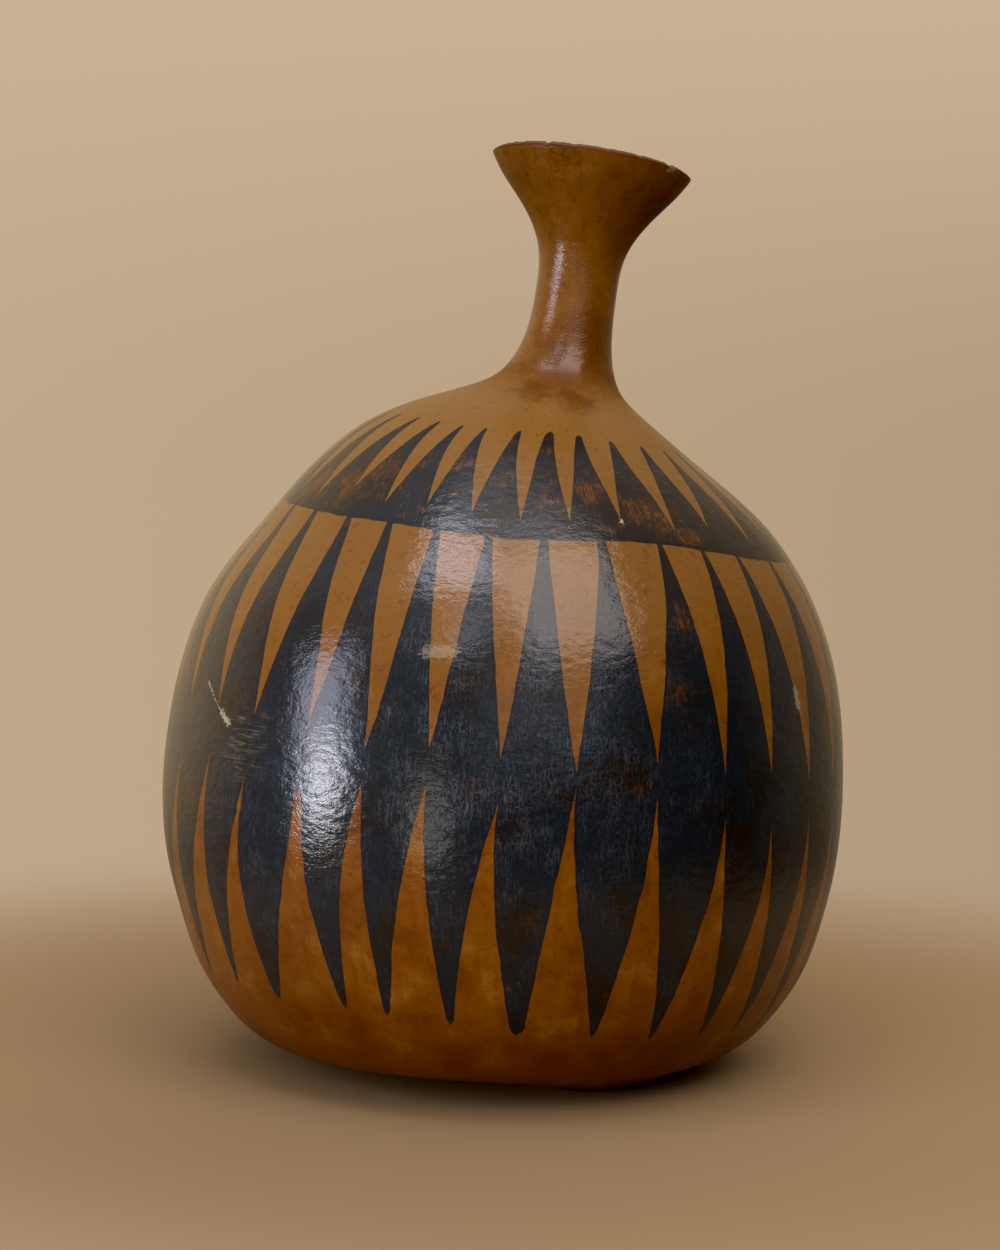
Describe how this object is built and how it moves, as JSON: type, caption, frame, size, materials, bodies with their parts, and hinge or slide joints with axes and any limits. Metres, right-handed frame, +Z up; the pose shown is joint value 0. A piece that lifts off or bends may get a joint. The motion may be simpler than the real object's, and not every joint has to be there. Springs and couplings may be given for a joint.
{
  "type": "dried bottle gourd",
  "caption": "Hollow dried bottle gourd with a round belly, a thin leaning neck and a cut, flared mouth, used as a vase or vessel.",
  "frame": {"origin": "on the surface that the gourd stands on, under the middle of its bounding box", "axes": "+Z up through the belly, +X the way the neck leans, -Y the front"},
  "size_m": [0.2224, 0.2224, 0.2977],
  "materials": {
    "gourd_rind": "satin varnished dried rind"
  },
  "bodies": {
    "root": {"gourd_shell": "gourd_rind"}
  },
  "joints": []
}
